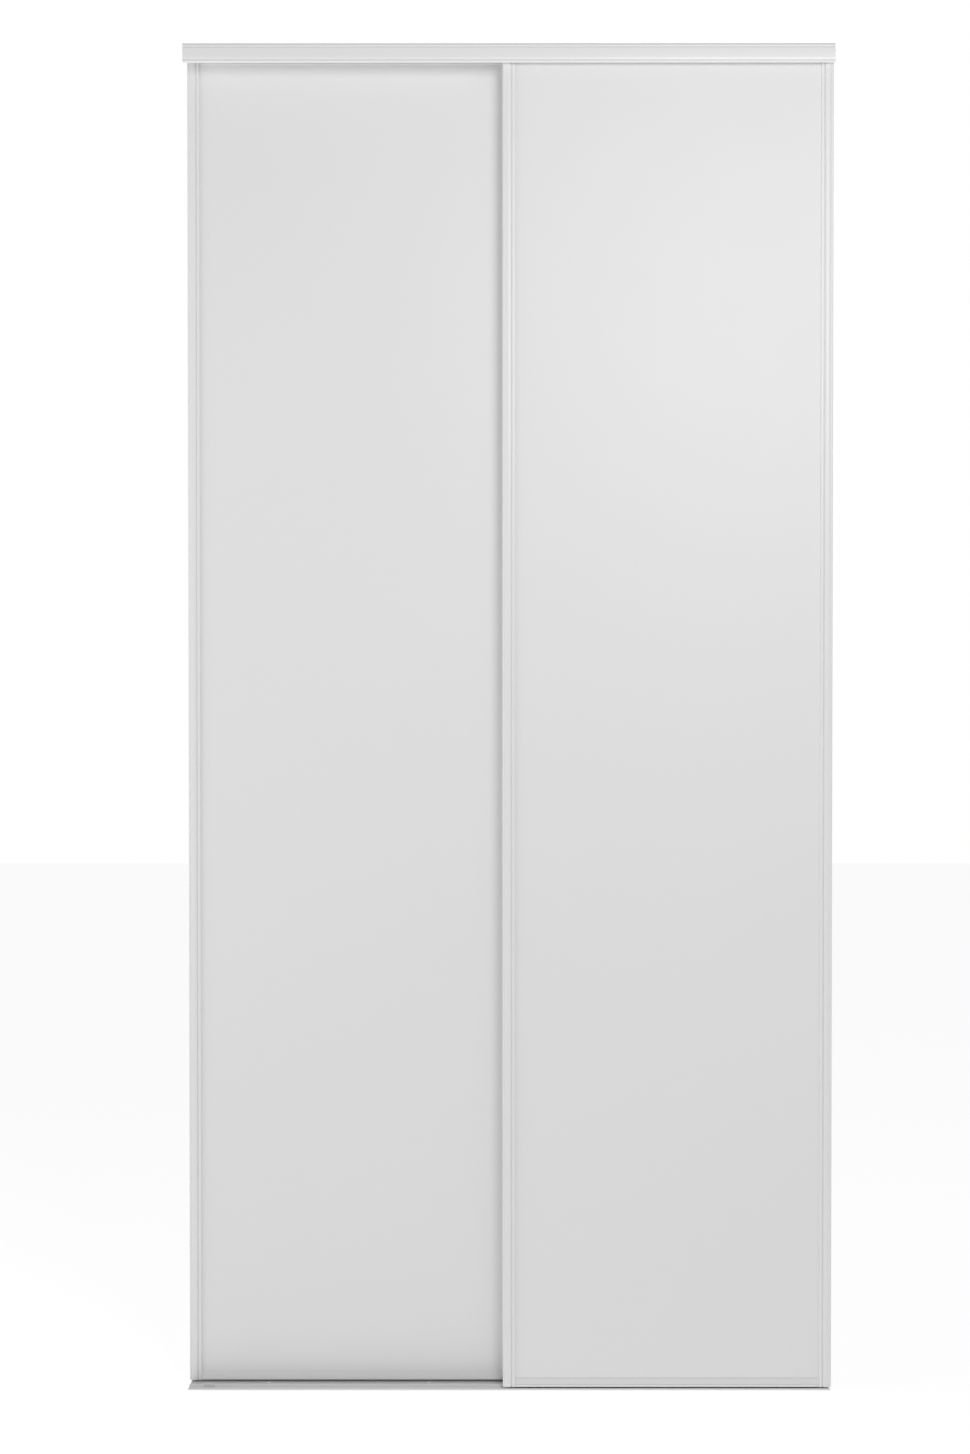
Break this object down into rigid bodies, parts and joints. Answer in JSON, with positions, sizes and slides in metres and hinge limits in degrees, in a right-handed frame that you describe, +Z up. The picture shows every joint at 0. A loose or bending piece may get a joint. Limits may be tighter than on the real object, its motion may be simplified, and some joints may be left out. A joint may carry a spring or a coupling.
{
  "type": "sliding wardrobe door set",
  "caption": "Pair of white framed sliding wardrobe doors in a top track with fascia and a low bottom track, on wheels with height screws and sprung top guides.",
  "frame": {"origin": "on the floor, under the middle of the top track's width and depth", "axes": "+X to the right along the tracks, +Y to the back, +Z up; the doors' faces look to -Y"},
  "size_m": [1.2, 0.0866, 2.49],
  "materials": {
    "track_lacquer": "white stove lacquer, satin",
    "frame_lacquer": "white stove lacquer, satin",
    "white_panel": "particle board with a smooth white melamine facing, satin",
    "stop_plastic": "moulded white nylon",
    "nylon_grey": "moulded light grey nylon",
    "nylon_white": "moulded natural white nylon",
    "zinc_steel": "bright zinc-plated steel",
    "bearing_steel": "ground bright steel",
    "spring_steel": "drawn spring wire"
  },
  "bodies": {
    "root": {"top_track": "track_lacquer", "bottom_track": "track_lacquer", "front_stop_left": "stop_plastic", "front_stop_right": "stop_plastic", "rear_stop_left": "stop_plastic", "rear_stop_right": "stop_plastic"},
    "front_carriages": {"front_left_roller_fork": "zinc_steel", "front_left_roller_axle": "bearing_steel", "front_right_roller_fork": "zinc_steel", "front_right_roller_axle": "bearing_steel"},
    "front_door": {"front_door_panel": "white_panel", "front_bottom_rail": "frame_lacquer", "front_top_rail": "frame_lacquer", "front_frame_screws": "zinc_steel", "front_left_stile": "frame_lacquer", "front_left_roller_housing": "nylon_grey", "front_left_guide_housing": "nylon_grey", "front_right_stile": "frame_lacquer", "front_right_roller_housing": "nylon_grey", "front_right_guide_housing": "nylon_grey", "front_left_guide_spring": "spring_steel", "front_right_guide_spring": "spring_steel"},
    "front_left_wheel": {"front_left_roller_wheel": "nylon_white", "front_left_roller_bearing": "bearing_steel"},
    "front_left_adjuster": {"front_left_height_adjuster": "zinc_steel"},
    "front_left_guide": {"front_left_guide_shoe": "nylon_white"},
    "front_right_wheel": {"front_right_roller_wheel": "nylon_white", "front_right_roller_bearing": "bearing_steel"},
    "front_right_adjuster": {"front_right_height_adjuster": "zinc_steel"},
    "front_right_guide": {"front_right_guide_shoe": "nylon_white"},
    "rear_carriages": {"rear_left_roller_fork": "zinc_steel", "rear_left_roller_axle": "bearing_steel", "rear_right_roller_fork": "zinc_steel", "rear_right_roller_axle": "bearing_steel"},
    "rear_door": {"rear_door_panel": "white_panel", "rear_bottom_rail": "frame_lacquer", "rear_top_rail": "frame_lacquer", "rear_frame_screws": "zinc_steel", "rear_left_stile": "frame_lacquer", "rear_left_roller_housing": "nylon_grey", "rear_left_guide_housing": "nylon_grey", "rear_right_stile": "frame_lacquer", "rear_right_roller_housing": "nylon_grey", "rear_right_guide_housing": "nylon_grey", "rear_left_guide_spring": "spring_steel", "rear_right_guide_spring": "spring_steel"},
    "rear_left_wheel": {"rear_left_roller_wheel": "nylon_white", "rear_left_roller_bearing": "bearing_steel"},
    "rear_left_adjuster": {"rear_left_height_adjuster": "zinc_steel"},
    "rear_left_guide": {"rear_left_guide_shoe": "nylon_white"},
    "rear_right_wheel": {"rear_right_roller_wheel": "nylon_white", "rear_right_roller_bearing": "bearing_steel"},
    "rear_right_adjuster": {"rear_right_height_adjuster": "zinc_steel"},
    "rear_right_guide": {"rear_right_guide_shoe": "nylon_white"}
  },
  "joints": [
    {"name": "front_slide", "type": "slide", "parent": "root", "child": "front_carriages", "axis": [1, 0, 0], "range_m": [-0.588, 0]},
    {"name": "front_height", "type": "slide", "parent": "front_carriages", "child": "front_door", "axis": [0, 0, 1], "range_m": [0, 0.004]},
    {"name": "front_left_wheel_spin", "type": "hinge", "parent": "front_carriages", "child": "front_left_wheel", "pos_m": [0.043, -0.0114, 0.01548], "axis": [0, 1, 0], "continuous": true},
    {"name": "front_left_adjuster_turn", "type": "hinge", "parent": "front_door", "child": "front_left_adjuster", "pos_m": [0.043, -0.0114, 0.056], "axis": [0, 0, 1], "continuous": true},
    {"name": "front_left_guide_plunge", "type": "slide", "parent": "front_door", "child": "front_left_guide", "axis": [0, 0, 1], "range_m": [-0.005, 0], "stiffness_N_per_m": 600, "springref_m": 0.004, "deforming": ["front_left_guide_spring"]},
    {"name": "front_right_wheel_spin", "type": "hinge", "parent": "front_carriages", "child": "front_right_wheel", "pos_m": [0.545, -0.0114, 0.01548], "axis": [0, 1, 0], "continuous": true},
    {"name": "front_right_adjuster_turn", "type": "hinge", "parent": "front_door", "child": "front_right_adjuster", "pos_m": [0.545, -0.0114, 0.056], "axis": [0, 0, 1], "continuous": true},
    {"name": "front_right_guide_plunge", "type": "slide", "parent": "front_door", "child": "front_right_guide", "axis": [0, 0, 1], "range_m": [-0.005, 0], "stiffness_N_per_m": 600, "springref_m": 0.004, "deforming": ["front_right_guide_spring"]},
    {"name": "rear_slide", "type": "slide", "parent": "root", "child": "rear_carriages", "axis": [1, 0, 0], "range_m": [0, 0.588]},
    {"name": "rear_height", "type": "slide", "parent": "rear_carriages", "child": "rear_door", "axis": [0, 0, 1], "range_m": [0, 0.004]},
    {"name": "rear_left_wheel_spin", "type": "hinge", "parent": "rear_carriages", "child": "rear_left_wheel", "pos_m": [-0.545, 0.029, 0.01548], "axis": [0, 1, 0], "continuous": true},
    {"name": "rear_left_adjuster_turn", "type": "hinge", "parent": "rear_door", "child": "rear_left_adjuster", "pos_m": [-0.545, 0.029, 0.056], "axis": [0, 0, 1], "continuous": true},
    {"name": "rear_left_guide_plunge", "type": "slide", "parent": "rear_door", "child": "rear_left_guide", "axis": [0, 0, 1], "range_m": [-0.005, 0], "stiffness_N_per_m": 600, "springref_m": 0.004, "deforming": ["rear_left_guide_spring"]},
    {"name": "rear_right_wheel_spin", "type": "hinge", "parent": "rear_carriages", "child": "rear_right_wheel", "pos_m": [-0.043, 0.029, 0.01548], "axis": [0, 1, 0], "continuous": true},
    {"name": "rear_right_adjuster_turn", "type": "hinge", "parent": "rear_door", "child": "rear_right_adjuster", "pos_m": [-0.043, 0.029, 0.056], "axis": [0, 0, 1], "continuous": true},
    {"name": "rear_right_guide_plunge", "type": "slide", "parent": "rear_door", "child": "rear_right_guide", "axis": [0, 0, 1], "range_m": [-0.005, 0], "stiffness_N_per_m": 600, "springref_m": 0.004, "deforming": ["rear_right_guide_spring"]}
  ],
  "couplings": [
    {"joint": "front_left_wheel_spin", "follows": "front_slide", "rad_per_m": 92.593},
    {"joint": "front_left_adjuster_turn", "follows": "front_height", "rad_per_m": 6283.2},
    {"joint": "front_right_wheel_spin", "follows": "front_slide", "rad_per_m": 92.593},
    {"joint": "front_right_adjuster_turn", "follows": "front_height", "rad_per_m": 6283.2},
    {"joint": "rear_left_wheel_spin", "follows": "rear_slide", "rad_per_m": 92.593},
    {"joint": "rear_left_adjuster_turn", "follows": "rear_height", "rad_per_m": 6283.2},
    {"joint": "rear_right_wheel_spin", "follows": "rear_slide", "rad_per_m": 92.593},
    {"joint": "rear_right_adjuster_turn", "follows": "rear_height", "rad_per_m": 6283.2}
  ]
}
